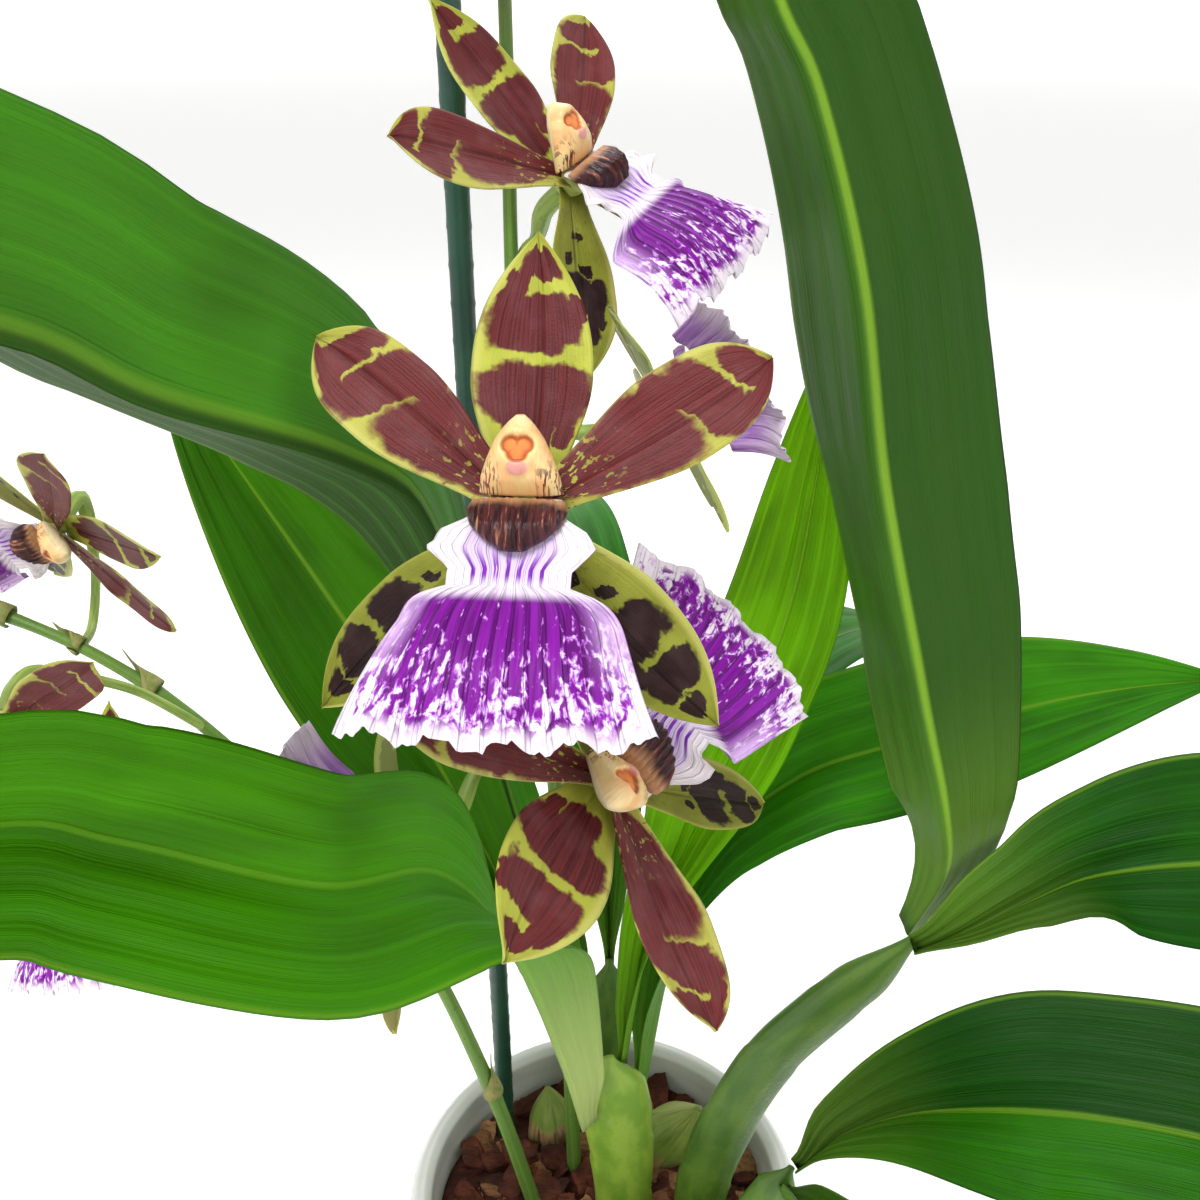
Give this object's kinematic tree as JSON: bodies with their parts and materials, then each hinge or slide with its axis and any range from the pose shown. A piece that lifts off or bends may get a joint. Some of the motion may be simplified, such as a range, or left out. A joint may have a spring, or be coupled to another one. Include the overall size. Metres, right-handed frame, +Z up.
{
  "type": "potted orchid",
  "caption": "Flowering zygopetalum orchid with blotched petals and veined violet lips, strap leaves and pseudobulbs, standing in a bark-filled round pot with a support stake.",
  "frame": {"origin": "centre of the pot's flat underside", "axes": "+Z up along the pot's axis, -Y towards the front, where the nearest bloom faces, +X to the viewer's right"},
  "size_m": [0.5224, 0.4351, 0.5623],
  "materials": {
    "pot": "satin",
    "bark": "matte",
    "stake": "satin",
    "pseudobulb": "satin",
    "leafy_shoot": "satin",
    "flower_spike": "satin",
    "clip": "satin",
    "leaf": "satin",
    "tepal": "satin",
    "lip": "satin",
    "column": "satin"
  },
  "bodies": {
    "root": {"pot": "pot", "bark": "bark", "stake": "stake", "pseudobulb_1": "pseudobulb", "pseudobulb_2": "pseudobulb", "pseudobulb_3": "pseudobulb", "pseudobulb_4": "pseudobulb", "shoot_centre": "leafy_shoot", "shoot_right": "leafy_shoot", "shoot_front": "leafy_shoot", "shoot_back": "leafy_shoot", "spike_main": "flower_spike", "spike_left": "flower_spike", "clip_lower": "clip", "clip_upper": "clip", "leaf_1_upper_left": "leaf", "leaf_2_lower_left": "leaf", "leaf_3_back_left": "leaf", "leaf_4_right_tall": "leaf", "leaf_5_right_back": "leaf", "leaf_6_right_level": "leaf", "leaf_7_right_low": "leaf", "leaf_8_lower_right": "leaf", "leaf_9_front_right": "leaf", "leaf_10_back": "leaf", "leaf_11_back_right": "leaf", "leaf_12_back_left": "leaf", "bloom_1_tepals": "tepal", "bloom_1_lip": "lip", "bloom_1_column": "column", "bloom_2_tepals": "tepal", "bloom_2_lip": "lip", "bloom_2_column": "column", "bloom_3_tepals": "tepal", "bloom_3_lip": "lip", "bloom_3_column": "column", "bloom_4_tepals": "tepal", "bloom_4_lip": "lip", "bloom_4_column": "column", "bloom_5_tepals": "tepal", "bloom_5_lip": "lip", "bloom_5_column": "column", "bloom_6_tepals": "tepal", "bloom_6_lip": "lip", "bloom_6_column": "column", "bloom_7_tepals": "tepal", "bloom_7_lip": "lip", "bloom_7_column": "column", "bloom_8_tepals": "tepal", "bloom_8_lip": "lip", "bloom_8_column": "column"}
  },
  "joints": []
}
